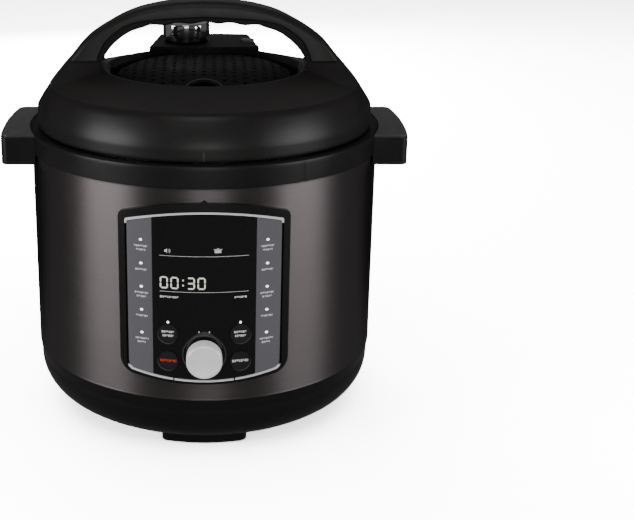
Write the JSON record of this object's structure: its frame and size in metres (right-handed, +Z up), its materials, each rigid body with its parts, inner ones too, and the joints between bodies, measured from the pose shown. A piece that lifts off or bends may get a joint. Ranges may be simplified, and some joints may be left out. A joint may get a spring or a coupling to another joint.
{
  "type": "electric pressure cooker",
  "caption": "Free-standing electric pressure cooker with a drum body, bowed control panel with dial and keys, side handles and a twist-lock lid with an arch handle.",
  "frame": {"origin": "on the surface it stands on, under the middle of the drum", "axes": "+Z up, -Y out of the control panel, +X to the side handle on the right of someone facing the panel"},
  "size_m": [0.36, 0.345, 0.3685],
  "materials": {
    "black_plastic": "fine satin texture",
    "grip_plastic": "finer matt grip",
    "rubber": "matt",
    "dark_steel": "dark tinted, brushed round the body",
    "steel": "pressed, satin",
    "cast_aluminium": "as cast, turned top",
    "element_sheath": "heat stained",
    "spring_steel": "drawn wire",
    "inner_plastic": "moulded",
    "circuit_board": "lacquered laminate",
    "bright_trim": "polished",
    "strip_grey": "satin film",
    "gloss_black": "gloss",
    "lamp_lens": "clear, lit",
    "dial_metal": "spun face",
    "silicone": "translucent",
    "smoke_plastic": "smoked clear",
    "screw_steel": "plated"
  },
  "bodies": {
    "base": {"base_screws": "screw_steel", "board_parts": "inner_plastic", "bottom_housing": "black_plastic", "buzzer": "inner_plastic", "chrome_trim": "bright_trim", "control_bezel": "black_plastic", "control_board": "circuit_board", "cup_bracket": "black_plastic", "display_module": "circuit_board", "display_window": "gloss_black", "encoder_case": "inner_plastic", "feet": "black_plastic", "foot_pads": "rubber", "handle_cover_left": "grip_plastic", "handle_cover_right": "grip_plastic", "heating_element": "element_sheath", "heating_plate": "cast_aluminium", "key_strip_left": "strip_grey", "key_strip_right": "strip_grey", "light_pipes": "lamp_lens", "liner": "steel", "locking_ring": "steel", "outer_shell": "dark_steel", "power_board": "circuit_board", "power_inlet": "inner_plastic", "pressure_switch": "inner_plastic", "rim_band": "black_plastic", "sensor_holder": "inner_plastic", "sensor_spring": "spring_steel", "side_handle_left": "black_plastic", "side_handle_right": "black_plastic", "tact_switches": "inner_plastic", "thermal_cutoff": "inner_plastic"},
    "sensor": {"sensor_cap": "cast_aluminium"},
    "delay_key": {"delay_button": "gloss_black"},
    "warm_key": {"warm_button": "gloss_black"},
    "cancel_key": {"cancel_button": "gloss_black"},
    "start_key": {"start_button": "gloss_black"},
    "dial_plunger": {"encoder_plunger": "inner_plastic"},
    "dial": {"control_knob": "dial_metal", "dial_shaft": "steel"},
    "pot": {"inner_pot": "steel"},
    "lid_carrier": {"sealing_ring": "silicone"},
    "lid": {"lid_cover": "black_plastic", "lid_handle": "black_plastic", "handle_grip": "grip_plastic", "handle_screws": "screw_steel", "inner_lid": "steel", "ring_rack": "steel", "steam_housing": "black_plastic", "valve_pipe": "steel", "anti_block_shield": "steel", "knob_spring": "spring_steel", "float_seal": "grip_plastic"},
    "vent": {"vent_cover": "black_plastic"},
    "release": {"release_knob": "bright_trim"},
    "weight": {"valve_weight": "steel"},
    "float": {"float_valve": "steel"},
    "lock": {"lock_pin": "steel"},
    "cup": {"condensation_cup": "smoke_plastic"}
  },
  "joints": [
    {"name": "sensor_press", "type": "slide", "parent": "base", "child": "sensor", "axis": [0, 0, -1], "range_m": [0, 0.003], "stiffness_N_per_m": 500, "springref_m": -0.003, "deforming": ["sensor_spring"]},
    {"name": "delay_press", "type": "slide", "parent": "base", "child": "delay_key", "axis": [0, 1, 0], "range_m": [0, 0.0006], "stiffness_N_per_m": 1500, "springref_m": -0.0002},
    {"name": "warm_press", "type": "slide", "parent": "base", "child": "warm_key", "axis": [0, 1, 0], "range_m": [0, 0.0006], "stiffness_N_per_m": 1500, "springref_m": -0.0002},
    {"name": "cancel_press", "type": "slide", "parent": "base", "child": "cancel_key", "axis": [0, 1, 0], "range_m": [0, 0.0006], "stiffness_N_per_m": 1500, "springref_m": -0.0002},
    {"name": "start_press", "type": "slide", "parent": "base", "child": "start_key", "axis": [0, 1, 0], "range_m": [0, 0.0006], "stiffness_N_per_m": 1500, "springref_m": -0.0002},
    {"name": "dial_push", "type": "slide", "parent": "base", "child": "dial_plunger", "axis": [0, 1, 0], "range_m": [0, 0.0015], "stiffness_N_per_m": 1500, "springref_m": -0.0005},
    {"name": "dial_turn", "type": "hinge", "parent": "dial_plunger", "child": "dial", "pos_m": [0, -0.16, 0.1], "axis": [0, -1, 0], "continuous": true},
    {"name": "lid_lift", "type": "slide", "parent": "base", "child": "lid_carrier", "axis": [0, 0, 1], "range_m": [0, 0.4]},
    {"name": "lid_turn", "type": "hinge", "parent": "lid_carrier", "child": "lid", "pos_m": [0, 0, 0.255], "axis": [0, 0, 1], "range_deg": [0, 30]},
    {"name": "pot_lift", "type": "slide", "parent": "base", "child": "pot", "axis": [0, 0, 1], "range_m": [0, 0.2]},
    {"name": "vent_lift", "type": "slide", "parent": "lid", "child": "vent", "axis": [0, 0, 1], "range_m": [0, 0.025]},
    {"name": "release_press", "type": "slide", "parent": "lid", "child": "release", "axis": [0, 0, -1], "range_m": [0, 0.005], "stiffness_N_per_m": 700, "springref_m": -0.003, "deforming": ["knob_spring"]},
    {"name": "weight_lift", "type": "slide", "parent": "lid", "child": "weight", "axis": [0, 0, 1], "range_m": [0, 0.003]},
    {"name": "float_rise", "type": "slide", "parent": "lid", "child": "float", "axis": [0, 0, 1], "range_m": [0, 0.004]},
    {"name": "lock_pin_rise", "type": "slide", "parent": "lid", "child": "lock", "axis": [0, 0, 1], "range_m": [0, 0.003]},
    {"name": "cup_slide", "type": "slide", "parent": "base", "child": "cup", "axis": [0, 1, 0], "range_m": [0, 0.06]}
  ],
  "couplings": [
    {"joint": "pot_lift", "follows": "lid_lift", "ratio": 0.5},
    {"joint": "weight_lift", "follows": "release_press", "ratio": 0.6}
  ]
}
